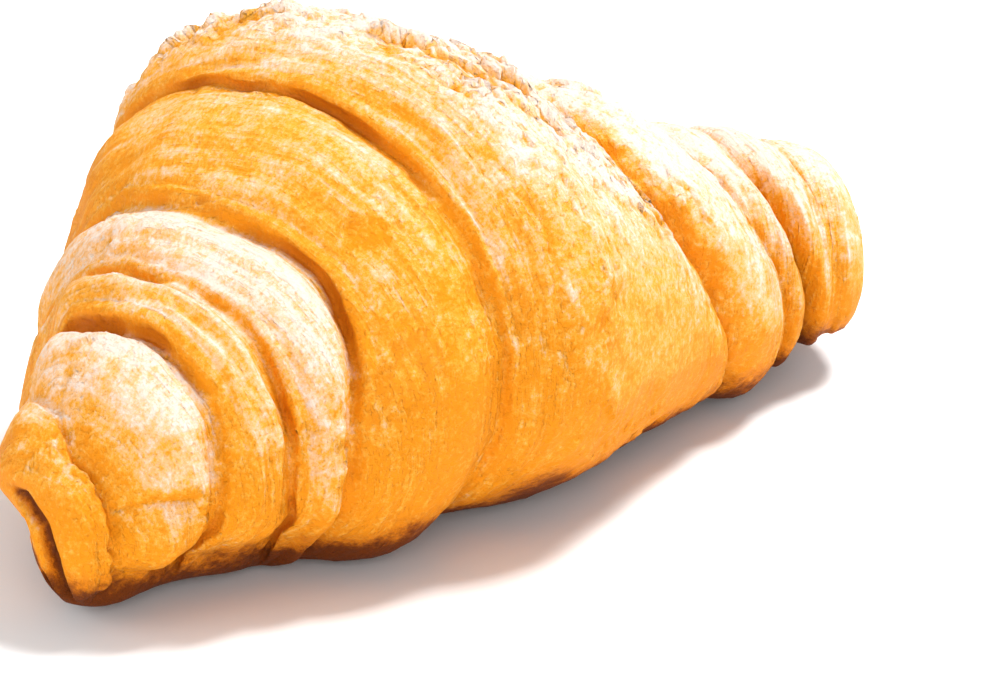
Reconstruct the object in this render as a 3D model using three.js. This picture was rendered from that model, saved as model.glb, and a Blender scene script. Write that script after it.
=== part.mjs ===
// A plain baked croissant: one triangle of laminated dough rolled up from its
// wide side, so the body is a single piece whose outside steps up, edge by
// edge, from both tips to the wide crown.
// Millimetres. +X runs from tip to tip, +Z is up, the tips bend toward -Y.
import * as THREE from 'three';
import { mergeVertices } from 'three/addons/utils/BufferGeometryUtils.js';

// --- driving dimensions -------------------------------------------------

// Middle line of the roll, tip to tip, seen from above: [x, y]
const MIDDLE_LINE = [
  [-66.3, -10.6],
  [-47.5, -7.7],
  [-29, -3.7],
  [-10.5, -0.2],
  [8.4, 0.5],
  [27.3, -1],
  [46.2, -3],
  [55.1, -6.2],
  [63.5, -10.6],
];

// Half width of the roll: [share of the way from tip to tip, half width]
const HALF_WIDTH = [
  [0, 9.2],
  [0.04, 12],
  [0.1, 16.8],
  [0.16, 20.8],
  [0.22, 25],
  [0.3, 30.2],
  [0.38, 35],
  [0.44, 34.8],
  [0.5, 32.8],
  [0.6, 29],
  [0.7, 24.6],
  [0.78, 20.5],
  [0.86, 17.2],
  [0.94, 14],
  [1, 10.3],
];

const TIP_ROUNDING = 7.5;        // length over which each tip rounds to nothing
const CROWN_FLATNESS = 1.325;    // width over height in the middle
const TIP_FLATNESS = 1.16;       // width over height at the tips
const WIDEST_LEVEL = 0.46;       // height of the widest line, share of the height
const BELLY_CUT = 1.06;          // how far the belly would sink below the tray

// The tips curl clear of the tray: [share of the way from tip to tip, lift]
const TIP_LIFT = [
  [0, 1.2],
  [0.12, 1.6],
  [0.22, 0],
  [0.5, 0],
  [0.78, 0.6],
  [0.9, 3.2],
  [1, 4.8],
];

// Dough edges from the left tip to the right. Each is placed by its share of
// the way from tip to tip, at eight angles round the roll (0 front, 90 top,
// 180 back). rise is the step up on to the layer that lies on top.
const READ_AT = [-70, -35, 0, 45, 90, 135, 180, 250, 290];
const EDGES = [
  { faces: 'right', rise: 1.8, at: [0.034, 0.031, 0.029, 0.033, 0.044, 0.066, 0.078, 0.06] },
  { faces: 'left', rise: 2.6, at: [0.11, 0.098, 0.1, 0.114, 0.123, 0.13, 0.13, 0.12] },
  { faces: 'left', rise: 1.6, at: [0.19, 0.167, 0.152, 0.164, 0.163, 0.18, 0.195, 0.195] },
  { faces: 'left', rise: 2.2, at: [0.215, 0.202, 0.195, 0.229, 0.231, 0.25, 0.265, 0.27] },
  { faces: 'left', rise: 1.8, at: [0.325, 0.322, 0.32, 0.328, 0.336, 0.352, 0.37, 0.385] },
  { faces: 'right', rise: 2.8, at: [0.735, 0.725, 0.7, 0.633, 0.58, 0.53, 0.5, 0.48] },
  { faces: 'right', rise: 1.4, at: [0.845, 0.84, 0.828, 0.781, 0.757, 0.737, 0.725, 0.735] },
  { faces: 'right', rise: 2.4, at: [0.895, 0.892, 0.885, 0.845, 0.836, 0.828, 0.82, 0.822] },
  { faces: 'right', rise: 1, at: [0.942, 0.94, 0.935, 0.919, 0.905, 0.895, 0.885, 0.885] },
];
const STEP_LENGTH = 0.003;       // half the length a step takes, share of the roll
const FOOT_SHARE = 0.6;          // share of the rise that lies below the mean skin

// How far each layer swells between its edges, from the left tip to the right
const PUFF = [1, 2.2, 1.5, 1.6, 2.1, 2.1, 2.3, 1.1, 2.4, 1];

// Broad hollows and swells: the middle of each, its reach and its depth
const DENTS = [
  { at: [-51, -25, 2], reach: 13, depth: 4 },
  { at: [-42, -27, 1], reach: 12, depth: 2.5 },
  { at: [-64, 4, 5], reach: 11, depth: 5.5 },
  { at: [-12, 24, 44], reach: 24, depth: -2.2 },
];

// The left end is drawn in below its brow: middle, reach and how far it moves
const DRAWN_IN = { at: [-66, -3, 5.5], reach: 9.5, move: [3.6, -1.2, 0] };

// Grid: rows of facets on each layer from tip to tip, and facets round the roll
const LAYER_ROWS = [4, 5, 6, 4, 9, 14, 9, 5, 6, 6];
const ROUND_FACETS = 56;

const CRUST = new THREE.MeshStandardMaterial({
  color: 0xe09a3c,
  roughness: 0.5,
  metalness: 0,
});

// --- helpers ------------------------------------------------------------

const smooth = (low, high, x) => THREE.MathUtils.smoothstep(x, low, high);
const mix = THREE.MathUtils.lerp;

// Smooth curve through stations [place, value] that never overshoots them
function through(stations, place) {
  const last = stations.length - 1;
  let i = 0;
  while (i < last - 1 && place > stations[i + 1][0]) i += 1;
  const slope = (k) => (stations[k + 1][1] - stations[k][1])
    / (stations[k + 1][0] - stations[k][0]);
  const tangent = (k) => {
    if (k === 0) return slope(0);
    if (k === last) return slope(last - 1);
    const before = slope(k - 1);
    const after = slope(k);
    return before * after <= 0 ? 0 : (2 * before * after) / (before + after);
  };
  const [x0, y0] = stations[i];
  const [x1, y1] = stations[i + 1];
  const span = x1 - x0;
  const s = (place - x0) / span;
  const rest = 1 - s;
  return y0 * rest * rest * (1 + 2 * s) + y1 * s * s * (3 - 2 * s)
    + span * s * rest * (tangent(i) * rest - tangent(i + 1) * s);
}

// Where one dough edge lies at an angle round the roll (0 front, 90 top).
// Under the belly it slides back to where it began, hidden by the tray.
function edgeAt(edge, angle) {
  const turned = angle < READ_AT[0] ? angle + 360 : angle;
  const places = [...edge.at, edge.at[0]];
  return through(READ_AT.map((a, k) => [a, places[k]]), turned);
}

// 1 at the middle of a round patch, easing to 0 at its reach
function patch(point, at, reach, power) {
  const away = point.distanceTo(new THREE.Vector3(...at)) / reach;
  return Math.max(0, 1 - away * away) ** power;
}

// --- the outside surface ------------------------------------------------

const middle = new THREE.CatmullRomCurve3(
  MIDDLE_LINE.map(([x, y]) => new THREE.Vector3(x, y, 0)),
);
const rollLength = middle.getLength();

// Rounding of both tips: 0 at the very end, 1 once past it
function tipRounding(share) {
  const fromEnd = Math.min(share, 1 - share) * rollLength;
  const inside = Math.min(fromEnd / TIP_ROUNDING, 1);
  return Math.sqrt(1 - (1 - inside) ** 2);
}

// Height of the skin beside an edge, above the mean surface
function besideEdge(edge, onRight) {
  if (!edge) return 0;
  const upper = (edge.faces === 'left') === onRight;
  return edge.rise * (upper ? 1 - FOOT_SHARE : -FOOT_SHARE);
}

// Height of a layer above the mean surface: high at its own free edge, low
// where the next layer laps over it, swollen between
function layerRelief(layer, s) {
  const start = besideEdge(EDGES[layer - 1], true);
  const end = besideEdge(EDGES[layer], false);
  return mix(start, end, s) + PUFF[layer] * 4 * s * (1 - s);
}

// A point at a share of the roll and an angle, raised by relief
function raised(share, angle, relief) {
  const centre = middle.getPointAt(share);
  const along = middle.getTangentAt(share);
  const rounding = tipRounding(share);
  const half = through(HALF_WIDTH, share);
  const fromMiddle = Math.abs(2 * share - 1);
  const height = (2 * half) / mix(CROWN_FLATNESS, TIP_FLATNESS, fromMiddle ** 2);

  const turn = THREE.MathUtils.degToRad(angle);
  const upward = Math.sin(turn);
  const part = upward < 0 ? WIDEST_LEVEL * BELLY_CUT : 1 - WIDEST_LEVEL;
  const level = WIDEST_LEVEL * height + through(TIP_LIFT, share);
  const side = (half * rounding + relief) * Math.cos(turn);
  const z = Math.max(0, level + (part * height * rounding + relief) * upward);
  return new THREE.Vector3(centre.x + side * along.y, centre.y - side * along.x, z);
}

// A point of the skin: layer number, share s across that layer, angle in degrees
function skin(layer, s, angle) {
  const low = layer === 0 ? 0 : edgeAt(EDGES[layer - 1], angle) + STEP_LENGTH;
  const high = layer === EDGES.length ? 1 : edgeAt(EDGES[layer], angle) - STEP_LENGTH;
  const share = mix(low, high, s);
  const offTray = smooth(-0.96, -0.78, Math.sin(THREE.MathUtils.degToRad(angle)));
  const fade = smooth(0, 0.02, Math.min(share, 1 - share));
  let relief = layerRelief(layer, s) * offTray * fade;
  const first = raised(share, angle, relief);
  DENTS.forEach((dent) => {
    relief -= dent.depth * patch(first, dent.at, dent.reach, 2) * fade;
  });
  const point = raised(share, angle, relief);
  const drawn = patch(point, DRAWN_IN.at, DRAWN_IN.reach, 1.5);
  return point.add(new THREE.Vector3(...DRAWN_IN.move).multiplyScalar(drawn));
}

// --- the body -----------------------------------------------------------

// Layer and share of every row of the grid, from the left tip to the right
const rows = LAYER_ROWS.flatMap((count, layer) => (
  Array.from({ length: count + 1 }, (_, k) => ({ layer, s: k / count }))
));

// A globe with its poles at the tips carries the grid; its points are then
// moved onto the skin
const body = new THREE.SphereGeometry(1, ROUND_FACETS, rows.length - 1);
const points = body.attributes.position;
for (let i = 0; i < points.count; i += 1) {
  const row = rows[Math.floor(i / (ROUND_FACETS + 1))];
  const column = (i % (ROUND_FACETS + 1)) % ROUND_FACETS;
  const angle = (360 * column) / ROUND_FACETS - 90;
  const p = skin(row.layer, row.s, angle);
  points.setXYZ(i, p.x, p.y, p.z);
}
body.deleteAttribute('normal');
body.deleteAttribute('uv');
const closed = mergeVertices(body, 1e-3);

// Stand the body over the origin: middle of its length and width, base at zero
closed.computeBoundingBox();
const box = closed.boundingBox;
closed.translate(-(box.min.x + box.max.x) / 2, -(box.min.y + box.max.y) / 2, -box.min.z);
closed.computeVertexNormals();

const croissant = new THREE.Mesh(closed, CRUST);
croissant.name = 'croissant';

const part = new THREE.Group();
part.name = 'croissant_part';
part.add(croissant);
export default part;
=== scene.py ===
# %% [markdown]
# # A baked croissant
#
# A croissant is one triangle of laminated dough, rolled up from its wide
# side. This lesson is about that roll: a flat sheet is curled into a tube,
# its edges lap over one another, and the oven puffs, wrinkles and browns it.
# The first cell loads the plain solid that the croissant was engineered
# from, so that the fine model is made at the same place and size. All the
# shaping is worked out in millimetres and turned into metres at the end.

# %% Load the plain solid
import math

import bmesh
import bpy
import numpy as np
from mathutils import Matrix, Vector, noise


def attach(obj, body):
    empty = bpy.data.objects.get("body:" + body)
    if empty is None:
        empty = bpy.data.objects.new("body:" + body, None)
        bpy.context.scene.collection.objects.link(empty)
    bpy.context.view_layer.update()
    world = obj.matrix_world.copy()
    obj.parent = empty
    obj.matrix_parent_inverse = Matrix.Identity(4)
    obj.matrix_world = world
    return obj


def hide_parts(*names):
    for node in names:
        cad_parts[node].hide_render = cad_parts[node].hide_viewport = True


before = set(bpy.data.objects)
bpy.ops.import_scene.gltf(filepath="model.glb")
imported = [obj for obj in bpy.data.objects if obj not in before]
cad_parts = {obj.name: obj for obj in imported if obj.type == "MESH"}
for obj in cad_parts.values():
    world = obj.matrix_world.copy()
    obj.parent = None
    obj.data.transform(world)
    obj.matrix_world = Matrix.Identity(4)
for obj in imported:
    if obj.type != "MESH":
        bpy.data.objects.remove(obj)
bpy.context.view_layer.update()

MM = 0.001

# %% [markdown]
# ## The camera
#
# Food is usually shown from a low front corner. A wide lens close by would
# swell the near tip and shrink the far one, so this is a long lens from
# further away, and the roll keeps its proportions. Depth of field stays off,
# so both tips are sharp.

# %% Camera
SENSOR = 36.0             # width of the film, in mm
FOCAL = 119.2             # length of the lens, in mm
NEAREST = 0.01            # closer than this, in metres, nothing is drawn
EYE = Vector((-242.6, -286.8, 158.0)) * MM
LOOK_AT = Vector((30.0, 22.3, 0.0)) * MM

camera_data = bpy.data.cameras.new("camera")
camera_data.sensor_width = SENSOR
camera_data.lens = FOCAL
camera_data.clip_start = NEAREST
camera = bpy.data.objects.new("camera", camera_data)
camera.location = EYE
camera.rotation_euler = (LOOK_AT - EYE).to_track_quat("-Z", "Y").to_euler()
bpy.context.scene.collection.objects.link(camera)
bpy.context.scene.camera = camera
print("camera distance in mm:", round((LOOK_AT - EYE).length / MM))

# %% [markdown]
# ## Smooth curves
#
# Nearly every measure of the roll changes smoothly along it or round it.
# Curve objects could hold such measures, but a few stations with a smooth
# curve through them are shorter and easier to read. The curve is a natural
# cubic spline: it bends as a thin strip of wood would when held at the
# stations. Three small shapes go with it: a soft step, a plateau and a bell.
# Every mark on the crust is later built from them.

# %% Smooth curves
def through(stations, places):
    """Natural cubic spline through (place, value) stations."""
    x = np.array([place for place, value in stations], float)
    y = np.array([value for place, value in stations], float)
    gap = np.diff(x)
    slope = np.diff(y) / gap
    count = len(x)
    system = np.eye(count)
    side = np.zeros(count)
    for i in range(1, count - 1):
        system[i, i - 1:i + 2] = gap[i - 1], 2 * (gap[i - 1] + gap[i]), gap[i]
        side[i] = 6 * (slope[i] - slope[i - 1])
    bend = np.linalg.solve(system, side)
    at = np.clip(np.searchsorted(x, places) - 1, 0, count - 2)
    left = np.clip(places, x[0], x[-1]) - x[at]
    first = slope[at] - gap[at] * (2 * bend[at] + bend[at + 1]) / 6
    third = (bend[at + 1] - bend[at]) / (6 * gap[at])
    return y[at] + left * (first + left * (bend[at] / 2 + left * third))


def ease(low, high, x):
    """A soft step: 0 below low, 1 above high."""
    s = np.clip((x - low) / (high - low), 0, 1)
    return s * s * (3 - 2 * s)


def plateau(x, rise, fall):
    """1 between two soft steps: up over the span rise, down over the span fall."""
    return ease(*rise, x) * (1 - ease(*fall, x))


def bell(x, width, middle=0.0):
    """1 at the middle, falling off smoothly over a width."""
    return np.exp(-((x - middle) / width) ** 2)


print("a soft step at its start, middle and end:", ease(0, 1, np.array([0, 0.5, 1])))

# %% [markdown]
# ## Soft random fields
#
# Dough is never quite even. Blender's noise gives every place in space a
# value that changes smoothly from one lump to the next. It is chosen over
# random numbers because it is a fixed function of place: the croissant comes
# out the same on every run, and a finer sheet has the same lumps.

# %% Soft random fields
SEED_SHIFT = np.array([13.7, 31.1, 7.9])
NOISE_GAIN = 1.6          # brings the noise to about -1 to 1


def field(points, grain, seed=0):
    """Soft random field, about -1 to 1, whose lumps are grain mm across."""
    scaled = np.asarray(points, float) / grain + SEED_SHIFT * (seed + 1)
    values = [noise.noise(Vector(point)) for point in scaled.reshape(-1, 3)]
    return np.array(values).reshape(scaled.shape[:-1]) * NOISE_GAIN


def mixed_field(points, parts, seed_step=0):
    """Several soft random fields added up, each part (amount, grain, seed)."""
    return sum(amount * field(points, grain, seed + seed_step) for amount, grain, seed in parts)


print("field at one place:", round(float(field([[0.0, 0.0, 0.0]], 10)[0]), 3))

# %% [markdown]
# ## The stations of the roll
#
# Everything is placed by two numbers. The share says how far a point is
# along the roll, 0 at the left tip and 1 at the right. The angle says how
# far round it is: 0 faces the hollow side of the crescent, 90 is the top,
# 180 the back, 270 the base. The stations give the middle line seen from
# above, the half width, and how far the tips curl up off the tray. They
# follow the plain solid, so that both have the same body.

# %% Stations of the roll
ROLL_LENGTH = 133.0
MIDDLE_X = [(0, -66.3), (0.143, -47.5), (0.286, -29), (0.429, -10.5), (0.571, 8.4),
            (0.714, 27.3), (0.857, 46.2), (0.929, 55.1), (1, 63.5)]
MIDDLE_Y = [(0, -10.6), (0.143, -7.7), (0.286, -3.7), (0.429, -0.2), (0.571, 0.5),
            (0.714, -1), (0.857, -3), (0.929, -6.2), (1, -10.6)]
HALF_WIDTH = [(0, 9.2), (0.04, 12), (0.1, 16.8), (0.16, 20.8), (0.22, 25.0), (0.3, 30.2),
              (0.38, 35.1), (0.44, 34.8), (0.5, 32.8), (0.6, 29), (0.7, 24.6),
              (0.78, 20.5), (0.86, 17.2), (0.94, 14), (1, 10.3)]
TIP_LIFT = [(0, 1.2), (0.12, 1.6), (0.22, 0), (0.5, 0), (0.78, 0.6), (0.9, 3.2), (1, 4.8)]
print("widest place of the roll, share and half width:", max(HALF_WIDTH, key=lambda s: s[1]))

# %% [markdown]
# ## A point on the skin
#
# The cross-section is an oval, a little wider than high, whose widest line
# lies just below the middle, as in any soft roll on a tray. The belly would
# sink slightly below the tray, so it is cut off flat there. A circle swept
# along a curve object would give round sections and open ends only, so each
# point of the skin is worked out in code instead.

# %% A point on the skin
TIP_ROUNDING = 7.5        # length over which each tip rounds off, in mm
CROWN_FLATNESS = 1.325    # width over height in the middle
TIP_FLATNESS = 1.16       # width over height at the tips
WIDEST_LEVEL = 0.46       # height of the widest line, share of the height
BELLY_CUT = 1.06          # how far the belly would sink below the tray
HEADING_STEP = 1e-3       # how far apart the two places lie that give a direction


def heading(share):
    """Unit direction of the middle line at a share, seen from above."""
    after = np.minimum(share + HEADING_STEP, 1)
    before = np.maximum(share - HEADING_STEP, 0)
    dx = through(MIDDLE_X, after) - through(MIDDLE_X, before)
    dy = through(MIDDLE_Y, after) - through(MIDDLE_Y, before)
    size = np.hypot(dx, dy)
    return dx / size, dy / size


def skin(share, angle, relief):
    """Points on the outside, in mm, at a height of relief above the mean skin."""
    share = np.clip(share, 0, 1)
    from_end = np.minimum(share, 1 - share)
    inside = np.minimum(from_end * ROLL_LENGTH / TIP_ROUNDING, 1)
    rounding = np.sqrt(np.clip(1 - (1 - inside) ** 2, 0, 1))
    half = through(HALF_WIDTH, share)
    from_middle = np.abs(2 * share - 1)
    height = 2 * half / (CROWN_FLATNESS + (TIP_FLATNESS - CROWN_FLATNESS) * from_middle ** 2)
    level = WIDEST_LEVEL * height + np.maximum(through(TIP_LIFT, share), 0)

    turn = np.radians(angle)
    upward = np.sin(turn)
    part = np.where(upward < 0, WIDEST_LEVEL * BELLY_CUT, 1 - WIDEST_LEVEL)
    side = (half * rounding + relief) * np.cos(turn)
    z = level + (part * height * rounding + relief) * upward
    dx, dy = heading(share)
    x = through(MIDDLE_X, share) + side * dy
    y = through(MIDDLE_Y, share) - side * dx
    return np.stack([x, y, np.maximum(z, 0)], axis=-1)


crown_top = skin(np.array([0.42]), np.array([90.0]), 0.0)
print("crown height in mm:", round(float(crown_top[0, 2]), 1))

# %% [markdown]
# ## Where one layer laps over the next
#
# Rolling a triangle leaves its two long sides as edges that climb over each
# other toward the crown. On the left each edge faces left, on the right it
# faces right, and the crown lies on top of all of them. Only the edge next
# to the left tip faces the other way, because the tip is folded in. Each
# edge is read at eight angles round the roll; the ninth angle is the first
# again, one turn on. "at" is the share along the roll, "lip" is the height
# of the step in mm, and "open" says how far the oven has pulled the lap
# open, from 0, baked shut, to 1, an open crevice. The crown's right edge
# leans far over, because there the triangle narrows to its point.

# %% The layer edges
READ_AT = [-70, -35, 0, 45, 90, 135, 180, 250, 290]
LEFT, RIGHT = 1, -1
EDGES = [
    dict(side=RIGHT, lip=1.2,
         at=[0.034, 0.031, 0.029, 0.033, 0.044, 0.066, 0.078, 0.060],
         open=[1.0, 0.9, 0.7, 0.5, 0.3, 0.3, 0.4, 0.4]),
    dict(side=LEFT, lip=1.7,
         at=[0.110, 0.098, 0.100, 0.112, 0.119, 0.125, 0.127, 0.120],
         open=[0.9, 0.9, 0.6, 0.5, 1.0, 1.0, 0.6, 0.5]),
    dict(side=LEFT, lip=0.9,
         at=[0.190, 0.167, 0.152, 0.164, 0.163, 0.180, 0.195, 0.195],
         open=[1.0, 0.9, 0.7, 0.4, 0.1, 0.3, 0.5, 0.5]),
    dict(side=LEFT, lip=1.4,
         at=[0.215, 0.202, 0.195, 0.229, 0.231, 0.250, 0.265, 0.270],
         open=[0.2, 0.1, 0.3, 1.0, 0.3, 0.3, 0.5, 0.5]),
    dict(side=LEFT, lip=1.0,
         at=[0.325, 0.322, 0.320, 0.328, 0.336, 0.352, 0.370, 0.385],
         open=[0.2, 0.2, 0.2, 0.3, 0.9, 0.6, 0.5, 0.5]),
    dict(side=RIGHT, lip=1.9,
         at=[0.735, 0.725, 0.700, 0.633, 0.580, 0.530, 0.500, 0.480],
         open=[0.6, 0.6, 0.5, 0.4, 0.2, 0.3, 0.4, 0.5]),
    dict(side=RIGHT, lip=0.8,
         at=[0.845, 0.840, 0.828, 0.781, 0.757, 0.737, 0.725, 0.735],
         open=[0.6, 0.6, 0.4, 0.3, 0.2, 0.4, 0.5, 0.5]),
    dict(side=RIGHT, lip=1.6,
         at=[0.895, 0.892, 0.885, 0.845, 0.836, 0.828, 0.820, 0.822],
         open=[1.0, 1.0, 1.0, 0.5, 0.3, 0.4, 0.5, 0.6]),
    dict(side=RIGHT, lip=0.3,
         at=[0.942, 0.940, 0.935, 0.919, 0.905, 0.895, 0.885, 0.885],
         open=[0.0, 0.0, 0.1, 0.6, 0.3, 0.1, 0.0, 0.0]),
]
TIP_EDGE, SECOND_EDGE, THIRD_EDGE, FOURTH_EDGE, CROWN_LEFT, CROWN_RIGHT = range(6)
DEEP_RIGHT = 7            # the edge on the right with the deepest crevice


def read_round(values, angle):
    """A measure read at the eight angles, at any angle round the roll."""
    turned = np.where(angle < READ_AT[0], angle + 360, angle)
    return through(list(zip(READ_AT, list(values) + [values[0]])), turned)


print(len(EDGES), "layer edges")

# %% [markdown]
# ## The shape of a lap
#
# A lap is the step from one layer up to the free edge of the next. An open
# lap dips into a crevice, turns under the edge and comes up over a rounded
# lip; a shut lap is only a soft step with a crease. Both are drawn as
# thirteen rows across the edge, so that any lap between them can be mixed.
# A boolean cut or a crease could mark the edge too, but only rows that turn
# back under the lip give the shadow of a real flap of dough.

# %% The shape of a lap
LAP_REACH = 1.1           # how far a lap's rows reach to each side, in mm
CREVICE_DEPTH = 1.2       # how deep an open crevice is, in mm
FOOT_SHARE = 0.6          # share of the step that lies below the mean skin

# Each row, from the lower layer to the upper: how far along the roll in mm,
# how much of the step is climbed, how much of the crevice's depth
LAP_OPEN = np.array([
    (-1.1, 0, 0), (-0.7, 0, 0.25), (-0.35, 0, 0.6), (-0.05, 0, 0.92), (0.2, 0, 1),
    (0.3, 0.05, 0.75), (0.15, 0.25, 0.3), (-0.12, 0.5, 0), (-0.25, 0.72, 0),
    (-0.15, 0.9, 0), (0.15, 1, 0), (0.6, 1.03, 0), (1.1, 1, 0)])
LAP_ROWS = len(LAP_OPEN)
climb = np.linspace(-LAP_REACH, LAP_REACH, LAP_ROWS)
LAP_SHUT = np.column_stack([climb, ease(-0.9, 0.9, climb), 0.35 * bell(climb, 0.45)])

# Painted shade for each row of an open lap: darkest on the floor of the
# crevice, none on the lip above it
LAP_SHADE = [0, 0.1, 0.4, 0.8, 1, 1, 0.9, 0.6, 0.3, 0.1, 0, 0, 0]
print(LAP_ROWS, "rows to a lap")

# %% [markdown]
# ## Plan the rows of the sheet
#
# The sheet will be a grid with a row for every step along the roll. Rows are
# spent where the shape needs them: thirteen follow each lap, and each layer
# between two laps has its own number. At the two tips the rows crowd
# together, because the skin turns in sharply there. A grid whose rows follow
# the dough edges keeps each lap crisp without millions of faces.

# %% Plan the rows
BAND_ROWS = [22, 26, 22, 16, 40, 84, 52, 14, 26, 30]
TIP_CROWDING = 1.6        # power that crowds the rows toward a tip
LAST_BAND = len(BAND_ROWS) - 1

row_plan, row_layer = [], []
for band, count in enumerate(BAND_ROWS):
    spread = (np.arange(count) + 0.5) / count
    if band == 0:
        spread = (np.arange(count) / count) ** TIP_CROWDING
    if band == LAST_BAND:
        spread = 1 - (np.arange(count)[::-1] / count) ** TIP_CROWDING
    row_plan += [("band", band, spot) for spot in spread]
    row_layer += [band] * count
    if band < LAST_BAND:
        order = range(LAP_ROWS)
        if EDGES[band]["side"] == RIGHT:
            order = reversed(order)
        row_plan += [("lap", band, spot) for spot in order]
        row_layer += [band] * (LAP_ROWS // 2) + [band + 1] * (LAP_ROWS - LAP_ROWS // 2)
ROWS = len(row_plan)
layer = np.array(row_layer)
print(ROWS, "rows over", len(BAND_ROWS), "layers")

# %% [markdown]
# ## A flat sheet of dough
#
# The sheet itself is a plain grid, added with an operator as by hand. The
# loaded solid is still selected, so everything is deselected first. For each
# corner of the grid its row and its column are kept, because they say which
# place on the roll it will be carried to.

# %% The flat sheet
COLUMNS = 208
SHEET_SIZE = 2.0          # before it is rolled up; only rows and columns matter

bpy.ops.object.select_all(action="DESELECT")
bpy.ops.mesh.primitive_grid_add(x_subdivisions=COLUMNS, y_subdivisions=ROWS - 1, size=SHEET_SIZE)
dough = bpy.context.active_object
dough.name = "croissant_crust"
sheet = dough.data
flat = np.empty(len(sheet.vertices) * 3)
sheet.vertices.foreach_get("co", flat)
flat = flat.reshape(-1, 3) / SHEET_SIZE + 0.5
column = np.rint(flat[:, 0] * COLUMNS).astype(int)
row = np.rint(flat[:, 1] * (ROWS - 1)).astype(int)
print("sheet of", ROWS, "rows and", COLUMNS, "columns:", len(sheet.polygons), "faces")

# %% [markdown]
# ## Columns round the roll
#
# The columns start and end in the middle of the base, where the seam will be
# hidden. They are not spread evenly: they crowd over the round that shows
# and thin out on the flat base, which has little to say.

# %% Columns round the roll
BASE_THINNING = 0.55      # how much thinner the columns lie on the base
dense = np.linspace(-90, 270, 721)
on_base = 1 - ease(-0.8, -0.35, np.sin(np.radians(dense)))
density = 1 - BASE_THINNING * on_base
reach = np.concatenate([[0], np.cumsum((density[1:] + density[:-1]) / 2)])
column_angle = np.interp(np.linspace(0, 1, COLUMNS + 1), reach / reach[-1], dense)
column_angle[-1] = 270.0
column_turn = np.radians(column_angle)
angle = np.tile(column_angle, (ROWS, 1))

# 0 where the dough lies on the tray, 1 where it is free
off_tray = ease(-0.96, -0.78, np.sin(column_turn))
print("degrees between columns, least and most:",
      round(float(np.diff(column_angle).min()), 2), round(float(np.diff(column_angle).max()), 2))

# %% [markdown]
# ## Edges that wander
#
# An edge cut with a wheel and rolled by hand wanders a little, its lip is
# thick here and thin there, and it gapes unevenly. The random fields are
# read on a ring, so that they close up after one turn round the roll.

# %% Edges that wander
RING_SIZE = 10            # radius of the ring that the fields are read on
EDGE_WANDER = [(0.0022, 4.0, 0), (0.0007, 1.2, 20)]
LIP_WANDER = [(0.3, 3.5, 40), (0.07, 0.8, 50)]
GAPE_WANDER = [(0.25, 2.0, 60)]

ring = RING_SIZE * np.stack([np.cos(column_turn), np.sin(column_turn), 0 * column_turn], axis=-1)
edge_share, edge_lip, edge_open = [], [], []
for number, edge in enumerate(EDGES):
    wander = mixed_field(ring, EDGE_WANDER, number)
    edge_share.append(read_round(edge["at"], column_angle) + wander * off_tray)
    thickness = 1 + mixed_field(ring, LIP_WANDER, number)
    edge_lip.append(edge["lip"] * thickness * off_tray)
    gape = read_round(edge["open"], column_angle) + mixed_field(ring, GAPE_WANDER, number)
    edge_open.append(np.clip(gape, 0, 1) * off_tray)
print("mean gape of each lap:", [round(float(gape.mean()), 2) for gape in edge_open])

# %% [markdown]
# ## Where each row goes
#
# Every row and column now gets a share along the roll and a height above the
# mean skin. On a lap, the open and the shut profile are mixed by how far the
# lap gapes at that angle. On a layer, the height runs from its own free edge
# down to the foot of the next lap, and the layer swells between, as a strip
# of dough does when it is held at both edges and puffs in the middle.

# %% Lay out the rows
PUFF = [1.0, 2.4, 1.6, 1.7, 2.3, 2.2, 2.5, 1.1, 1.7, 1.4]   # swell of each layer, in mm
SWELL_POWER = 0.75        # below 1 the swell is broad with steep sides
SHUT_DEPTH = 0.3          # crevice depth that a shut lap keeps
# Painted shade: a shut lap keeps this share of it
SHUT_SHADE = 0.35          # darkness that a shut lap keeps
LIP_FROM = 0.6            # share of the step above which a row is part of the lip
share, relief, crevice_shade, lip_highlight = np.zeros((4, ROWS, COLUMNS + 1))


def level_beside(number, on_right):
    """Height of the skin beside an edge, on its right or on its left."""
    if number < 0 or number >= len(EDGES):
        return np.zeros(COLUMNS + 1)
    upper = (EDGES[number]["side"] == LEFT) == on_right
    return edge_lip[number] * ((1 - FOOT_SHARE) if upper else -FOOT_SHARE)


def lay_lap(index, number, spot):
    """Set one row of a lap: its place, its height and its painted shade."""
    gape = edge_open[number]
    shift, step, sink = LAP_SHUT[spot][:, None] * (1 - gape) + LAP_OPEN[spot][:, None] * gape
    share[index] = edge_share[number] + EDGES[number]["side"] * shift / ROLL_LENGTH
    depth = CREVICE_DEPTH * sink * (SHUT_DEPTH + (1 - SHUT_DEPTH) * gape) * off_tray
    relief[index] = edge_lip[number] * (step - FOOT_SHARE) - depth
    # painted shade in the crevice
    lap_shade = np.maximum(sink, LAP_SHADE[spot] * gape)
    crevice_shade[index] = lap_shade * (SHUT_SHADE + (1 - SHUT_SHADE) * gape) * off_tray
    # where the painted highlight along each lip goes
    lip_highlight[index] = np.clip((step - LIP_FROM) / (1 - LIP_FROM), 0, 1) * off_tray


def lay_band(index, number, spot):
    """Set one row of a layer, at a spot from 0, its left side, to 1, its right."""
    low, high = np.zeros(COLUMNS + 1), np.ones(COLUMNS + 1)
    if number > 0:
        low = edge_share[number - 1] + LAP_REACH / ROLL_LENGTH
    if number < LAST_BAND:
        high = edge_share[number] - LAP_REACH / ROLL_LENGTH
    share[index] = low + (high - low) * spot
    start, end = level_beside(number - 1, True), level_beside(number, False)
    swell = PUFF[number] * max(math.sin(math.pi * spot), 0) ** SWELL_POWER
    relief[index] = start + (end - start) * spot + swell * off_tray


for index, (kind, number, spot) in enumerate(row_plan):
    if kind == "lap":
        lay_lap(index, number, spot)
    else:
        lay_band(index, number, spot)
row_gap = np.diff(share[:, COLUMNS // 2]).max() * ROLL_LENGTH
print("rows are", round(float(row_gap), 2), "mm apart at most")

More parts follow.
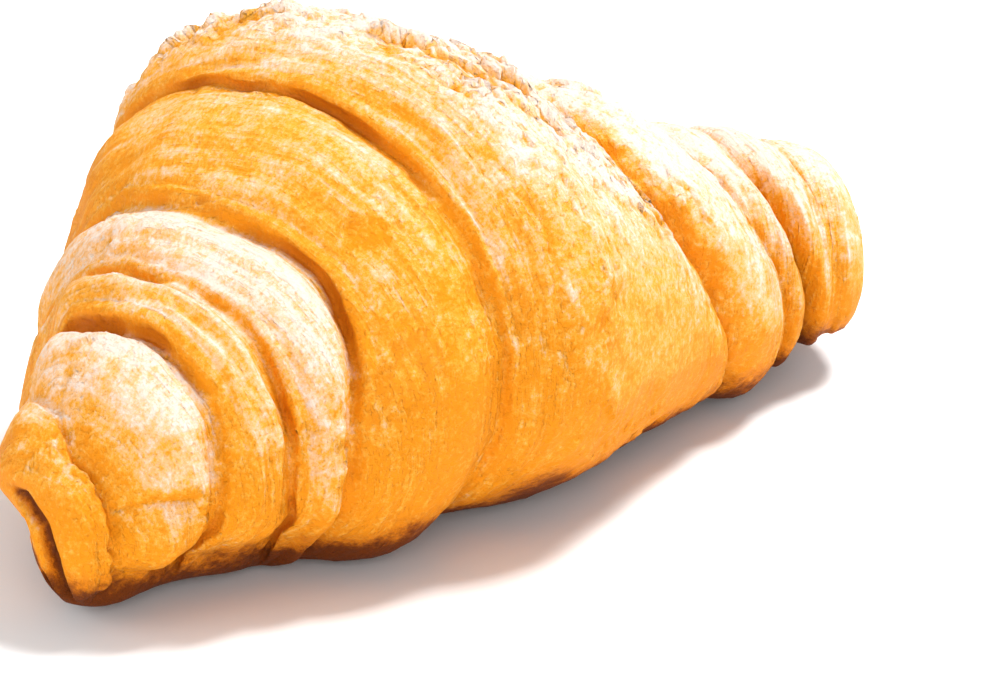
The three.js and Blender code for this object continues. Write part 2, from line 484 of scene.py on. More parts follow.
# %% [markdown]
# ## A first roll to measure on
#
# The marks of the oven are placed in millimetres on the rolled shape, so the
# sheet is first rolled up with its laps alone. Two more measures help: how
# far each point lies along the roll, and how far round it, as if the crust
# were peeled off and laid flat.

# %% A first roll
TIP_FADE_SHARE = 0.02     # share of the roll over which relief fades at a tip
tip_fade = ease(0, TIP_FADE_SHARE, np.minimum(share, 1 - share))
relief *= tip_fade
place = skin(share, angle, relief)
along_mm = share * ROLL_LENGTH
round_mm = np.radians(angle) * through(HALF_WIDTH, share)


def beyond(number):
    """Distance in mm from an edge, positive over the layer it laps on to."""
    return (share - edge_share[number]) * ROLL_LENGTH * -EDGES[number]["side"]


print("first roll, size in mm:", np.round(np.ptp(place.reshape(-1, 3), axis=0), 1))

# %% [markdown]
# ## Slow lumps and grit
#
# Gas pockets lift the crust into lumps of every size, and the surface of a
# baked crust is gritty. A displacement modifier with a texture could do this
# as well, but here the heights are wanted as numbers, to be added up with
# the other marks and moved only once.

# %% Lumps and grit
LUMPS = [(0.75, 24, 1), (0.4, 10, 2), (0.16, 4.5, 3)]       # height mm, grain mm, seed
GRIT = [(0.06, 1.2, 7)]
lumps = mixed_field(place, LUMPS)
grit = mixed_field(place, GRIT)
print("lumps reach from", round(float(lumps.min()), 1), "to", round(float(lumps.max()), 1), "mm")

# %% [markdown]
# ## Cracked plates of crust
#
# On the crown the thin outer sheet of dough dries first and breaks into
# plates a few millimetres across, each lifted a little and cracked from the
# next. They are drawn out along the crown's long right edge, the way the
# dough was stretched. Voronoi cells have just this shape: every point
# belongs to its nearest seed, the seed says how high its plate stands, and
# the border between two seeds is the crack.

# %% Cracked plates
LEAN_ALONG, LEAN_ROUND = 0.94, 0.34   # the way across the crown's right edge
PLATE_BEND = 0.55         # how crooked the plates are, in cells
BEND_GRAIN = 1.6          # lumps of that crookedness, in cells
DEPTH_GRAIN = 2.5         # lumps of the third measure, in cells
SEED_SPREAD = 5.3         # sets neighbouring seeds far apart in the noise
LIFT_GAIN = 1.8           # brings the lift to about -1 to 1
CRACK_WIDTH = 0.2         # in cells
across_edge = LEAN_ALONG * along_mm + LEAN_ROUND * round_mm
with_edge = LEAN_ALONG * round_mm - LEAN_ROUND * along_mm


def plates(grain, stretch, seed):
    """Cracked plates: lift of each, about -1 to 1, and nearness to a crack."""
    bent = PLATE_BEND * field(place, grain * BEND_GRAIN, seed)
    depth = field(place, grain * DEPTH_GRAIN, seed + 1)
    at = np.stack([across_edge / grain + bent, with_edge / (grain * stretch) - bent, depth], axis=-1)
    lift, border = [], []
    for point in at.reshape(-1, 3):
        distances, seeds = noise.voronoi(Vector(point))
        lift.append(noise.noise(seeds[0] * SEED_SPREAD) * LIFT_GAIN)
        border.append(distances[1] - distances[0])
    lift = np.array(lift).reshape(share.shape)
    return lift, 1 - ease(0.0, CRACK_WIDTH, np.array(border).reshape(share.shape))


big_lift, big_crack = plates(3.0, 1.8, 5)
small_lift, small_crack = plates(1.5, 1.5, 8)
print("share of the crust that is a wide crack:", round(float((big_crack > 0.5).mean()), 3))

# %% [markdown]
# ## Where the crust is scaly
#
# The plates belong on top of the crown and, more faintly, on the layer to
# its right. They thin out toward the base, come and go in patches, and a few
# stray patches lie elsewhere. This is a mask from 0, smooth, to 1, scaly.

# %% Where the crust is scaly
CROWN, BESIDE_CROWN = 5, 6            # layers, counted from 0 at the left tip
CROWN_RISE, CROWN_FALL = (0.35, 0.41), (0.77, 0.83)         # shares along the roll
TOP_RISE, TOP_FALL = (15, 45), (190, 240)                   # degrees round the roll
LEAST_SCALY, BESIDE_SCALY, STRAY_SCALY = 0.4, 0.45, 0.25
BIG_HEIGHT, SMALL_HEIGHT, CRACK_DEPTH, ALL_LIFT = 1.15, 0.45, 0.75, 0.3     # in mm

crown_side = plateau(share, CROWN_RISE, CROWN_FALL)
top_side = plateau(angle, TOP_RISE, TOP_FALL)
patchy = ease(-0.6, 0.5, field(place, 13, 4))
scaly = crown_side * top_side * (LEAST_SCALY + (1 - LEAST_SCALY) * patchy)
scaly *= np.where(layer == BESIDE_CROWN, BESIDE_SCALY, 1.0)[:, None]
scaly = np.maximum(scaly, STRAY_SCALY * ease(0.0, 0.5, field(place, 12, 12)))

crack = big_crack * ease(-0.3, 0.3, field(place, 5, 15))
crack = np.maximum(crack, 0.5 * small_crack)
heights = BIG_HEIGHT * big_lift + SMALL_HEIGHT * small_lift - CRACK_DEPTH * crack + ALL_LIFT
wrinkles = scaly * heights
print("scales reach from", round(float(wrinkles.min()), 1), "to", round(float(wrinkles.max()), 1), "mm")

# %% [markdown]
# ## Lines of thin dough
#
# Laminated dough is a stack of sheets thinner than paper. Beside each lap
# their ends show as faint lines that run round the roll. They are a random
# field stretched out like a wood grain: short along the roll, long round it.

# %% Lines of thin dough
LINE_SPACING, LINE_LENGTH = 1.3, 18   # in mm
LINE_HEIGHT = 0.26        # in mm
FAR_LINES = 0.2           # share of their height that the lines keep away from laps
SCALY_LOSS = 0.6          # how much of it scales take away
line_at = np.stack([along_mm / LINE_SPACING + 0.5 * field(place, 12, 10),
                    round_mm / LINE_LENGTH, 0 * share], axis=-1)
beside = np.zeros_like(share)
for number in range(len(EDGES)):
    beside = np.maximum(beside, plateau(-beyond(number), (-7, -1.5), (4, 10)))
line_strength = (FAR_LINES + (1 - FAR_LINES) * beside) * (1 - SCALY_LOSS * scaly)
streaks = LINE_HEIGHT * field(line_at, 1.0, 11) * line_strength
print("share of the crust near a lap:", round(float((beside > 0.5).mean()), 2))

# %% [markdown]
# ## Open splits
#
# Where the dough stretched most, the crust tore into short thin splits. Each
# is a path over the skin, given by a few places, and the crust sinks by the
# distance to that path. Cutting them with the knife tool needs a window and
# leaves ragged faces; pressing them in keeps the grid clean.

# %% Open splits
# Each split: its (share, angle) stations, its width and its depth in mm
SPLITS = [
    ([(0.350, 120), (0.351, 110), (0.354, 101)], 0.5, 0.5),
    ([(0.341, 118), (0.329, 119), (0.322, 129), (0.310, 132)], 0.6, 0.5),
    ([(0.236, 97), (0.240, 87), (0.243, 78)], 0.5, 0.9),
    ([(0.342, 46), (0.337, 37), (0.333, 28), (0.335, 12)], 0.6, 0.5),
    ([(0.362, 40), (0.360, 25), (0.354, 10), (0.35, -10)], 0.6, 0.45),
    ([(0.385, 34), (0.384, 20), (0.378, 5)], 0.5, 0.35),
    ([(0.44, 60), (0.425, 48), (0.42, 38)], 0.45, 0.5),
    ([(0.50, 72), (0.49, 58), (0.50, 47)], 0.45, 0.5),
    ([(0.47, 98), (0.46, 86), (0.45, 78)], 0.45, 0.5),
    ([(0.52, 40), (0.54, 27), (0.56, 14)], 0.45, 0.4),
    ([(0.817, 60), (0.843, 56), (0.900, 62)], 0.5, 0.55),
    ([(0.65, 95), (0.66, 80), (0.67, 70)], 0.4, 0.4),
]
SPLIT_POINTS = 14         # points along each path


def distance_to(path):
    """Distance in mm from every point of the skin to a path of 3-D points."""
    nearest = np.full(share.shape, np.inf)
    for start, end in zip(path, path[1:]):
        run = end - start
        part = np.clip((place - start) @ run / (run @ run), 0, 1)
        away = np.linalg.norm(place - start - part[..., None] * run, axis=-1)
        nearest = np.minimum(nearest, away)
    return nearest


def on_skin(stations):
    """A smooth path on the skin through (share, angle) stations."""
    at = np.linspace(0, len(stations) - 1, SPLIT_POINTS)
    shares = through([(i, s) for i, (s, a) in enumerate(stations)], at)
    angles = through([(i, a) for i, (s, a) in enumerate(stations)], at)
    return skin(shares, angles, np.zeros(SPLIT_POINTS))


splits = np.zeros_like(share)
for stations, width, depth in SPLITS:
    splits = np.maximum(splits, depth * bell(distance_to(on_skin(stations)), width))
print(len(SPLITS), "splits, deepest", round(float(splits.max()), 2), "mm")

# %% [markdown]
# ## The end of the roll
#
# The left tip is the cut end of the rolled dough, and two of its turns show
# there as curled slits. They are made as the splits are, from paths given
# in millimetres, because on so small a place a share and an angle say little.

# %% The end of the roll
TIP_SLITS = [
    [(-63.5, -2, 14), (-65.3, -8, 14.6), (-65.8, -12, 12.5), (-65.6, -13.6, 9),
     (-64.8, -14, 5), (-63, -13.5, 2)],
    [(-65, -4, 10), (-66, -8.5, 11), (-66.2, -11, 8.5), (-65.6, -11.6, 5), (-64, -11, 2.5)],
]
SLIT_WIDTH = 0.8
slits = np.zeros_like(share)
for path in TIP_SLITS:
    slits = np.maximum(slits, bell(distance_to(np.array(path, float)), SLIT_WIDTH))
print("points inside a slit:", int((slits > 0.5).sum()))

# %% [markdown]
# ## Valleys and terraces
#
# Beside three of the edges the lower layer sinks into a broad valley before
# it rises again. Beside others, thin sheets of dough stop one after another
# and leave low terraces, each with a fine groove at its foot. Both are
# measured from the edge itself, so they follow wherever it wanders.

# %% Valleys and terraces
# Each valley: its edge, depth, distance from the edge and width in mm, and
# the angles over which it begins and ends
VALLEYS = [
    (TIP_EDGE, 1.5, 1.2, 2.6, (-80, -60), (75, 120)),
    (CROWN_RIGHT, 1.7, 1.8, 2.8, (-20, 20), (70, 120)),
    (DEEP_RIGHT, 2.0, 1.2, 2.4, (-80, -60), (40, 90)),
]
# Each terrace: its edge, distance from the edge and height in mm
TERRACES = [(THIRD_EDGE, 2.0, 0.35), (THIRD_EDGE, 4.2, 0.3), (THIRD_EDGE, 6.6, 0.25),
            (SECOND_EDGE, -2.2, 0.3), (FOURTH_EDGE, 3.0, 0.1),
            (CROWN_LEFT, -3.4, 0.1), (CROWN_LEFT, 2.6, 0.1)]

valley = np.zeros_like(share)
for number, depth, distance, width, rise, fall in VALLEYS:
    valley -= depth * bell(beyond(number), width, distance) * plateau(angle, rise, fall)

in_front = plateau(angle, (-75, -50), (60, 100))
terraces = np.zeros_like(share)
for number, distance, height in TERRACES:
    gap = beyond(number) - distance + 0.5 * field(place, 9, 30 + number)
    sheet_end = plateau(gap, (-0.35, 0.35), (1.5, 6)) - 0.8 * bell(gap, 0.4)
    terraces += in_front * height * sheet_end
print("deepest valley:", round(float(-valley.min()), 2), "mm")

# %% [markdown]
# ## Dents and the folded flap
#
# The baker's thumbs leave soft dents and swells, and the first turn of dough
# is folded down near the left tip as a small flap with a bulge below it. In
# sculpt mode these would be a few strokes of the grab brush. Written as
# numbers, each stroke is a place, a radius and a depth.

# %% Dents and the folded flap
# Each dent: its middle, its radius and its depth in mm; a negative depth swells
DENTS = [
    ((-51, -25, 2), 13, 4.0), ((-42, -27, 1), 12, 2.5), ((-64, 4, 5), 11, 5.5),
    ((-12, 24, 44), 24, -2.2), ((-53.5, 8, 22), 11, 3.2), ((-59, 5, 16), 9, 1.6),
]
FLAP_FROM, FLAP_ANGLE, FLAP_SLOPE = 0.04, 29, 430           # share, degrees there, per share
FLAP_RISE, FLAP_FALL = (0.036, 0.046), (0.078, 0.088)       # shares along the roll
FLAP_STEP, FLAP_GROOVE, FLAP_BULGE = 1.1, 0.8, 1.3          # in mm
STEP_HALF, GROOVE_WIDTH, BULGE_WIDTH, BULGE_AT = 1.5, 2.2, 20, -32          # in degrees


def patch(centre, radius, power):
    """1 at a centre in mm, easing to 0 at the radius."""
    away = np.linalg.norm(place - np.array(centre), axis=-1) / radius
    return np.clip(1 - away ** 2, 0, None) ** power


dents = -sum(depth * patch(centre, radius, 2) for centre, radius, depth in DENTS)

flap_edge = FLAP_ANGLE - FLAP_SLOPE * (share - FLAP_FROM) + 2 * field(place, 4, 9)
above = angle - flap_edge
flap = FLAP_BULGE * bell(above, BULGE_WIDTH, BULGE_AT) - FLAP_GROOVE * bell(above, GROOVE_WIDTH)
flap -= FLAP_STEP * (1 - ease(-STEP_HALF, STEP_HALF, above))
flap *= plateau(share, FLAP_RISE, FLAP_FALL)
print("deepest dent:", round(float(-dents.min()), 1), "mm")

# %% [markdown]
# ## Rolling it up
#
# Now all the heights are added, and each corner of the flat sheet is carried
# to its place on the skin, as the baker's hands would. They are real shape,
# not paint, so they catch the light from every side. Last, the end of the
# roll is drawn in below its brow, its slits are pressed in, and nothing is
# left below the tray.

# %% Roll up the sheet
DRAWN_IN = ((-66, -3, 5.5), 9.5, 1.5)       # middle, radius and power
DRAWN_WAY = np.array([3.6, -1.2, 0])        # how far it moves, in mm
SLIT_DEPTH = 2.0
SLIT_WAY = np.array([-0.8, -0.45, 0.1])     # outward at the left tip

added = (lumps + wrinkles + grit + flap + streaks + terraces + valley - splits) * off_tray
place = skin(share, angle, relief + (added + dents) * tip_fade)
place = place + patch(*DRAWN_IN)[..., None] * DRAWN_WAY
sunk = SLIT_DEPTH * slits * ease(0, 0.003, share)
place -= sunk[..., None] * SLIT_WAY
place[..., 2] = np.maximum(place[..., 2], 0)

corners = place[row, column] * MM
sheet.vertices.foreach_set("co", corners.ravel())
sheet.update()
print("rolled size in mm:", np.round(np.ptp(corners, axis=0) / MM, 1))

# %% [markdown]
# ## Painted light by facing and by layer
#
# The crust is painted pale where it faces up toward the light, and deeper
# gold where it is steep or faces away: a painted highlight and painted
# shade. Each layer also gets its own offset of painted light, lighter on
# some layers and darker on others. The paleness is one number from 0, deep
# orange, to 1, cream, worked out for each point. It depends on which way the
# skin faces, so the direction outward comes first: the cross product of a
# step along the roll and a step round it.

# %% Painted light by facing and by layer
# Painted light: crust facing this way is painted palest, as if lit from above
PAINTED_LIGHT_SIDE = np.array([0.06, -0.12, 0.99])   # the way the palest crust faces
PALE_BASE, PAINTED_LIGHT_BY_SIDE = 0.23, 0.60
LAYER_PAINTED_LIGHT = [-0.28, 0.12, -0.13, 0.13, -0.33, -0.15, 0.06, 0.04, 0.12, -0.04]
SMOOTH_ROWS = 9           # rows over which one layer's paleness turns to the next

along_row, along_column = np.gradient(place, axis=0), np.gradient(place, axis=1)
outward = np.cross(along_column, along_row)
outward /= np.linalg.norm(outward, axis=-1, keepdims=True) + 1e-9
if outward[ROWS // 2, COLUMNS // 2, 2] < 0:
    outward = -outward

padded = np.pad(np.array(LAYER_PAINTED_LIGHT)[layer], SMOOTH_ROWS // 2, mode="edge")
layer_painted_light = np.convolve(padded, np.ones(SMOOTH_ROWS) / SMOOTH_ROWS, mode="valid")
# Painted highlight where the skin faces the light, painted shade where it faces away, and each layer's
# painted offset
pale_and_painted_light = PALE_BASE + PAINTED_LIGHT_BY_SIDE * (outward @ PAINTED_LIGHT_SIDE) + layer_painted_light[:, None]
print("mean paleness by side and layer:", round(float(pale_and_painted_light.mean()), 2))

# %% [markdown]
# ## Paleness from place to place
#
# On top of that the crown's top gets a painted highlight and the right half a
# little painted light, the crust darkens towards the bottom, raised scales and
# lines get a painted highlight, and cracks and valleys get painted shade. Soft
# fields add the uneven blush that every bake has.

# %% Paleness from place to place
# Amounts of painted light: a highlight on the crown's top, on the right half and on raised relief, and
# painted shade in cracks and valleys
CROWN_HIGHLIGHT, OFF_CROWN = 0.24, 0.3     # extra on the crown; share of it on other layers
FOOT_DARK, FOOT_LEVELS = 0.25, (8, 20)                      # levels in mm
RIGHT_PAINTED_LIGHT, RIGHT_SHARES = 0.05, (0.36, 0.66)
RAISED_HIGHLIGHT, CRACK_SHADE, VALLEY_SHADE = 0.45, 0.2, 0.2         # per mm, per crack, per mm
PALE_FIELDS = [(0.08, 5, 16), (0.12, 1.6, 17)]              # amount, grain mm, seed

# painted highlight on top of the crown
pale_and_painted_light += CROWN_HIGHLIGHT * crown_side * top_side * np.where(layer == CROWN, 1.0, OFF_CROWN)[:, None]
# darker towards the bottom
pale_and_painted_light -= FOOT_DARK * (1 - ease(*FOOT_LEVELS, place[..., 2]))
# painted light on the right half
pale_and_painted_light += RIGHT_PAINTED_LIGHT * ease(*RIGHT_SHARES, share)
# random blush, and a painted highlight on raised scales and lines
pale_and_painted_light += mixed_field(place, PALE_FIELDS) + RAISED_HIGHLIGHT * (wrinkles + streaks)
# painted shade in cracks and valleys
pale_and_painted_light -= CRACK_SHADE * crack * scaly - VALLEY_SHADE * valley
print("mean paleness with the fields:", round(float(pale_and_painted_light.mean()), 2))

# %% [markdown]
# ## Paleness beside the laps
#
# Just below each lip the lower layer gets painted shade for a millimetre or
# two, most of all where the lap gapes. The crown's long right edge has the
# deepest band of painted shade, with a painted highlight on the rim above it.

# %% Paleness beside the laps
TUCKED_SHADE, TUCKED_WIDTH = 0.32, 1.6       # the width and TUCKED_FROM are in mm
TUCKED_FROM, SHUT_TUCKED = -0.8, 0.4        # SHUT_TUCKED is the share a shut lap keeps
# Painted shade band and painted highlight rim of the crown's right edge:
# how much, width, distance in mm
BAND_SHADE, BAND_WIDTH, BAND_AT = 0.4, 2.2, 2.6
RIM_HIGHLIGHT, RIM_WIDTH, RIM_AT = 0.08, 2.5, -2.5

for number in range(len(EDGES)):
    over = beyond(number)
    tucked_shade = bell(np.clip(over, 0, None), TUCKED_WIDTH) * (over > TUCKED_FROM)
    # painted shade under each lip, deepest where the lap gapes
    pale_and_painted_light -= TUCKED_SHADE * tucked_shade * (SHUT_TUCKED + (1 - SHUT_TUCKED) * edge_open[number])
on_front_top = plateau(angle, (0, 30), (80, 130))
# painted shade band beside the crown's right edge
pale_and_painted_light -= BAND_SHADE * bell(beyond(CROWN_RIGHT), BAND_WIDTH, BAND_AT) * on_front_top
# painted highlight on the crown's rim
pale_and_painted_light += RIM_HIGHLIGHT * bell(beyond(CROWN_RIGHT), RIM_WIDTH, RIM_AT) * on_front_top
pale_and_painted_light = np.clip(pale_and_painted_light, 0, 1)
print("mean paleness:", round(float(pale_and_painted_light.mean()), 2))

# %% [markdown]
# ## Marks kept for the colour
#
# The crust is not one colour: crevices, splits and cracks get painted shade,
# lips a painted highlight, the paleness holds painted light and shade, and
# the base browns on the tray. An image painted over the crust would need
# unwrapping and has a fixed sharpness. Instead, what the shaping knows about
# each point is kept on the mesh as named values, which the material reads.
# "roll_way" holds the place of each point on the unrolled crust, so that
# fine patterns can run round the roll.

# %% Keep the marks
TRAY_LEVELS, TRAY_WANDER = (1.0, 12.0), 1.8 # the browning fades between these, in mm
browned = 1 - ease(*TRAY_LEVELS, place[..., 2] + TRAY_WANDER * field(place, 9, 8))
marks = {
    # painted shade in crevices, splits and slits
    "crevice_shade": np.clip(crevice_shade + 0.8 * splits + slits, 0, 1),
    # painted highlight along the lips
    "lip": lip_highlight,
    # painted shade in the cracks between scales
    "crack": crack * scaly,
    "pale_and_painted_light": pale_and_painted_light,
    # real browning on the tray, and painted shade in the tip's slits
    "tray_browning_and_slit_shade": np.maximum(browned, 0.9 * slits),
    "plated": scaly * off_tray * tip_fade,
    "striped": (FAR_LINES + (1 - FAR_LINES) * beside) * (1 - 0.7 * scaly) * off_tray * tip_fade,
}
for name, values in marks.items():
    mark = sheet.attributes.new(name, "FLOAT", "POINT")
    mark.data.foreach_set("value", values[row, column].astype(np.float32))
roll_way = np.stack([along_mm, round_mm, 0 * share], axis=-1)[row, column]
way = sheet.attributes.new("roll_way", "FLOAT_VECTOR", "POINT")
way.data.foreach_set("vector", roll_way.astype(np.float32).ravel())
print("marks kept:", list(marks), "and roll_way")

# %% [markdown]
# ## Closing the roll
#
# The sheet's two long sides meet under the belly, and each short side
# shrinks to a point at a tip. Bridging them would add faces; merging the
# doubled points is enough and makes one closed skin. Then the faces are
# turned to point outwards and shaded smooth. The last lines say that the
# croissant moves with the only body and stands for the plain solid, which is
# hidden.

# %% Close the skin
DOUBLE = 0.000002         # points closer than this, in metres, are one
CM3 = 1e6                 # cubic centimetres in a cubic metre

bpy.ops.object.mode_set(mode="EDIT")
bpy.ops.mesh.select_all(action="SELECT")
bpy.ops.mesh.remove_doubles(threshold=DOUBLE)
bpy.ops.mesh.normals_make_consistent(inside=False)
bpy.ops.object.mode_set(mode="OBJECT")
bpy.ops.object.shade_smooth()

closed = bmesh.new()
closed.from_mesh(dough.data)
open_edges = sum(not edge.is_manifold for edge in closed.edges)
volume = closed.calc_volume() * CM3
print(len(closed.faces), "faces,", open_edges, "open edges, volume", round(volume, 1), "cm3")
closed.free()

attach(dough, "root")
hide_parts("croissant")

# %% [markdown]
# ## A material and its small helpers
#
# A material is a set of nodes joined by links. Dragging them by hand in the
# shader editor is slow to repeat, so a few helpers add one node each: one
# reads a mark, one does a sum, one stretches a value, one mixes two colours.

# %% Material and helpers
crust = bpy.data.materials.new("golden_crust")
crust.use_nodes = True
nodes, links = crust.node_tree.nodes, crust.node_tree.links
nodes.clear()


def plug(socket, value):
    """Link another node's output to a socket, or set a plain value on it."""
    if isinstance(value, bpy.types.NodeSocket):
        links.new(value, socket)
    else:
        socket.default_value = value


def node_with(kind, **sockets):
    """A node with some of its inputs plugged, named with _ for each space."""
    node = nodes.new(kind)
    for name, value in sockets.items():
        plug(node.inputs[name.replace("_", " ")], value)
    return node


def mark_node(name):
    """The node that reads a mark kept on the mesh."""
    node = nodes.new("ShaderNodeAttribute")
    node.attribute_name = name
    return node


def maths(operation, one, two):
    """A sum of two values."""
    node = nodes.new("ShaderNodeMath")
    node.operation = operation
    plug(node.inputs[0], one)
    plug(node.inputs[1], two)
    return node.outputs[0]


def window(value, low, high):
    """Stretch a value so that low becomes 0 and high becomes 1, softly."""
    node = node_with("ShaderNodeMapRange", Value=value, From_Min=low, From_Max=high)
    node.interpolation_type = "SMOOTHSTEP"
    return node.outputs["Result"]


def blend(factor, one, two):
    """Mix two colours by a factor."""
    node = nodes.new("ShaderNodeMix")
    node.data_type = "RGBA"
    for socket, value in ((node.inputs[0], factor), (node.inputs[6], one), (node.inputs[7], two)):
        plug(socket, value)
    return node.outputs[2]


print("material ready:", crust.name)

# %% [markdown]
# ## Patterns in the crust
#
# The finest detail is too small for the grid, so the material makes it.
# Specks and blisters lie in every direction, and read the object's own
# coordinates. The plates and the lines of thin dough follow the roll, so
# they read roll_way. A Mapping node of the texture kind gives their cells a
# size in mm and leans them over; a little noise on their places keeps the
# plates from being straight-sided.

# %% Patterns in the crust
PLATE_SIZE, PLATE_TURN, PLATE_JITTER = (1.9, 3.6), 20, 1.6
PLATE_EDGE = 0.16         # width of a plate's rim, in cells
JITTER_SCALE = 420        # lumps to a metre
THREAD_SIZE = (0.7, 16)   # a line of thin dough: width and length in mm
coords = nodes.new("ShaderNodeTexCoord").outputs["Object"]


def speckle(scale, detail=3.0, roughness=0.5):
    """Noise over the object, with scale lumps to a metre."""
    noise_node = node_with("ShaderNodeTexNoise", Vector=coords, Scale=scale,
                           Detail=detail, Roughness=roughness)
    return noise_node.outputs["Fac"]


def on_roll(size, lean=0.0):
    """Places on the unrolled crust, in cells of a size in mm that lean over."""
    node = node_with("ShaderNodeMapping", Vector=mark_node("roll_way").outputs["Vector"])
    node.vector_type = "TEXTURE"
    node.inputs["Rotation"].default_value = (0, 0, math.radians(lean))
    node.inputs["Scale"].default_value = (*size, 1)
    return node.outputs["Vector"]


def voronoi(feature, at, output):
    """A pattern of cells: a random value for each, or the distance to a border."""
    node = node_with("ShaderNodeTexVoronoi", Vector=at, Scale=1)
    node.feature = feature
    return node.outputs[output]


wobble = node_with("ShaderNodeTexNoise", Vector=coords, Scale=JITTER_SCALE, Detail=2)
shaken = nodes.new("ShaderNodeVectorMath")
shaken.operation = "MULTIPLY_ADD"
plug(shaken.inputs[0], wobble.outputs["Color"])
plug(shaken.inputs[1], (PLATE_JITTER, PLATE_JITTER, 0))
plug(shaken.inputs[2], on_roll(PLATE_SIZE, PLATE_TURN))
plate_at = shaken.outputs["Vector"]
plate_lift = voronoi("F1", plate_at, "Color")
plate_face = window(voronoi("DISTANCE_TO_EDGE", plate_at, "Distance"), 0.0, PLATE_EDGE)

threads = node_with("ShaderNodeTexNoise", Vector=on_roll(THREAD_SIZE), Scale=1,
                    Detail=3, Roughness=0.6)
thread = maths("SUBTRACT", threads.outputs["Fac"], 0.5)
print("pattern nodes so far:", len(nodes))

# %% [markdown]
# ## The crust's colour
#
# The crust's tones run from cream through straw and gold to deep orange.
# One number, the paleness kept on the mesh, carries painted light and shade
# besides the uneven blush of the bake. It is made finer with specks,
# blisters, plates and lines, and a colour ramp turns it into a tone; its
# cream stands mostly for painted highlight. The painted shade of cracks and
# crevices, and the browned base, are laid over that in darker tones.

# %% Crust colour
DEEP = (0.88, 0.29, 0.005, 1)
GOLD = (0.92, 0.40, 0.04, 1)
STRAW = (0.94, 0.55, 0.28, 1)
CREAM = (0.92, 0.73, 0.61, 1)
AMBER = (0.62, 0.16, 0.003, 1)
CHESTNUT = (0.17, 0.035, 0.002, 1)
FINE, BLISTERS, PATCHES, RAGGED = 1500, 380, 220, 420       # lumps to a metre
# How much each pattern changes the paleness
FINE_TONE, PATCH_TONE, LIP_HIGHLIGHT, THREAD_TONE = 1.5, 0.4, 0.04, 1.3
LIFT_TONE, PLATE_EDGE_SHADE, PLATE_MEAN = 0.4, 0.35, 0.46

plated = mark_node("plated").outputs["Fac"]
striped = mark_node("striped").outputs["Fac"]
# plate tone: a random tone for each plate, and painted shade at the plate borders
plate_tone = maths("ADD", maths("MULTIPLY", plate_lift, LIFT_TONE),
                   maths("MULTIPLY", plate_face, PLATE_EDGE_SHADE))
tones = [
    maths("MULTIPLY", maths("SUBTRACT", speckle(FINE, 4, 0.75), 0.5), FINE_TONE),
    maths("MULTIPLY", maths("SUBTRACT", speckle(PATCHES, 4, 0.65), 0.5), PATCH_TONE),
    # painted highlight along the lips
    maths("MULTIPLY", mark_node("lip").outputs["Fac"], LIP_HIGHLIGHT),
    maths("MULTIPLY", maths("SUBTRACT", plate_tone, PLATE_MEAN), plated),
    maths("MULTIPLY", maths("MULTIPLY", thread, THREAD_TONE), striped),
]
painted_light_and_tone = mark_node("pale_and_painted_light").outputs["Fac"]
for tone in tones:
    painted_light_and_tone = maths("ADD", painted_light_and_tone, tone)

# paleness to tone: cream where the painted highlight is strongest
ramp = node_with("ShaderNodeValToRGB", Fac=painted_light_and_tone)
stops = ramp.color_ramp.elements
stops[0].position, stops[0].color = 0.0, DEEP
stops[1].position, stops[1].color = 0.9, CREAM
stops.new(0.28).color = GOLD
stops.new(0.6).color = STRAW

colour = ramp.outputs["Color"]
# painted shade in the cracks
colour = blend(window(mark_node("crack").outputs["Fac"], 0.2, 1.2), colour, GOLD)
# painted shade in crevices, splits and slits
colour = blend(window(mark_node("crevice_shade").outputs["Fac"], 0.1, 0.9), colour, AMBER)
# real browning on the tray, and painted shade in the tip's slits
ragged = maths("ADD", mark_node("tray_browning_and_slit_shade").outputs["Fac"], speckle(RAGGED, 5, 0.75))
colour = blend(window(ragged, 0.62, 1.2), colour, AMBER)
colour = blend(window(ragged, 0.9, 1.3), colour, CHESTNUT)
print("ramp stops:", [round(stop.position, 2) for stop in stops])

# %% [markdown]
# ## The crust's grain and sheen
#
# The crust is dry, with only a breath of sheen from the egg wash: a rough
# surface under a thin coat. Its grain is four layers of bump, each built on
# the one below: lines of thin dough, plates, blisters and fine grit. Real
# displacement would need millions of faces for grain this small.

# %% Crust grain and sheen
# How high each layer of bump stands, in metres
THREAD_BUMP, PLATE_BUMP, BLISTER_BUMP, GRIT_BUMP = 0.0008, 0.00045, 0.0011, 0.00045


def bump(height, distance, under=None):
    """Relief of a height pattern on top of another bump."""
    node = node_with("ShaderNodeBump", Height=height, Distance=distance, Strength=1.0)
    if under is not None:
        plug(node.inputs["Normal"], under)
    return node.outputs["Normal"]


plate_height = maths("ADD", maths("MULTIPLY", plate_lift, 0.5), maths("MULTIPLY", plate_face, 0.5))
relief_normal = bump(maths("MULTIPLY", thread, striped), THREAD_BUMP)
relief_normal = bump(maths("MULTIPLY", plate_height, plated), PLATE_BUMP, relief_normal)
relief_normal = bump(speckle(BLISTERS, 5, 0.65), BLISTER_BUMP, relief_normal)
relief_normal = bump(speckle(FINE, 5, 0.75), GRIT_BUMP, relief_normal)

shader = node_with("ShaderNodeBsdfPrincipled", Base_Color=colour, Normal=relief_normal,
                   Roughness=0.65, Specular_IOR_Level=0.08,
                   Coat_Weight=0.08, Coat_Roughness=0.38)
node_with("ShaderNodeOutputMaterial", Surface=shader.outputs["BSDF"])
dough.data.materials.clear()
dough.data.materials.append(crust)
print("crust material:", len(nodes), "nodes")

# %% [markdown]
# ## The floor
#
# A plain pale sheet for the croissant to lie on. It is a hair below the
# base, so that the two never share a face. It belongs to the stage, not to
# the croissant.

# %% Floor
FLOOR_SIZE, FLOOR_DROP = 6, 0.0002          # in metres
FLOOR_COLOUR = (0.9, 0.9, 0.9, 1)

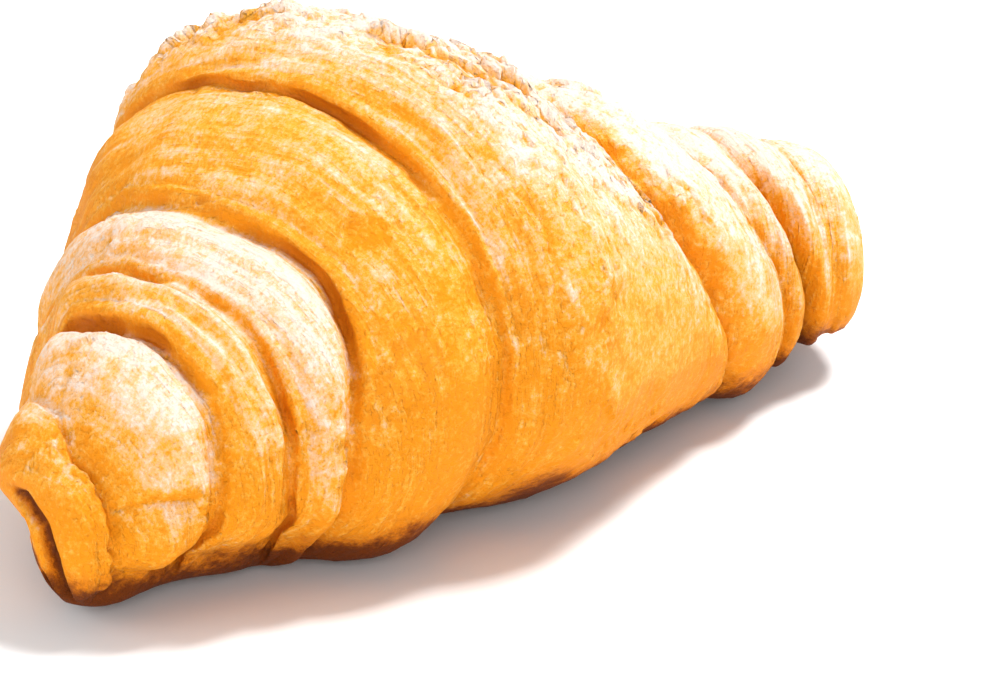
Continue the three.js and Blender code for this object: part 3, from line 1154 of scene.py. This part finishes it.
bpy.ops.object.select_all(action="DESELECT")
bpy.ops.mesh.primitive_plane_add(size=FLOOR_SIZE, location=(0, 0, -FLOOR_DROP))
floor = bpy.context.active_object
floor.name = "floor"
paper = bpy.data.materials.new("pale_floor")
paper.use_nodes = True
paper_shader = paper.node_tree.nodes["Principled BSDF"]
paper_shader.inputs["Base Color"].default_value = FLOOR_COLOUR
paper_shader.inputs["Roughness"].default_value = 0.9
floor.data.materials.append(paper)
print("floor of", FLOOR_SIZE, "metres")

# %% [markdown]
# ## Studio light
#
# Bread looks fresh in bright, soft light from above and behind, with the
# front filled in so that no side goes grey. Area lights give that softness:
# a strong one nearly overhead, a faint one behind, and two broad ones in
# front and on the left. A pale sky lights the rest. The directions are given
# as the camera sees them, because that is how lamps are set in a studio.

# %% Lights and sky
# Each light: (right, away, up), its distance and size in metres, its watts
LIGHTS = {
    "key": ((0.38, 0.2, 0.95), 0.8, 0.22, 9.5),
    "rim": ((0.5, 1.0, 0.4), 0.9, 0.4, 1),
    "fill": ((0.1, -0.9, 0.3), 0.9, 0.6, 4.2),
    "side": ((-0.9, -0.3, 0.4), 0.9, 0.6, 3.0),
}
SKY_STRENGTH = 0.5
VIEW_RIGHT = Vector((0.75, -0.66, 0)).normalized()
VIEW_AWAY = Vector((0.66, 0.75, 0)).normalized()

for name, ((right, away, up), distance, size, watts) in LIGHTS.items():
    light_data = bpy.data.lights.new(name, "AREA")
    light_data.size = size
    light_data.energy = watts
    lamp = bpy.data.objects.new(name, light_data)
    aim = (VIEW_RIGHT * right + VIEW_AWAY * away + Vector((0, 0, up))).normalized()
    lamp.location = aim * distance
    lamp.rotation_euler = (-aim).to_track_quat("-Z", "Y").to_euler()
    bpy.context.scene.collection.objects.link(lamp)

world = bpy.data.worlds.new("studio")
world.use_nodes = True
sky = world.node_tree.nodes["Background"]
sky.inputs["Color"].default_value = (1, 1, 1, 1)
sky.inputs["Strength"].default_value = SKY_STRENGTH
bpy.context.scene.world = world
bpy.context.scene.view_settings.view_transform = "Standard"
print("lights:", list(LIGHTS))
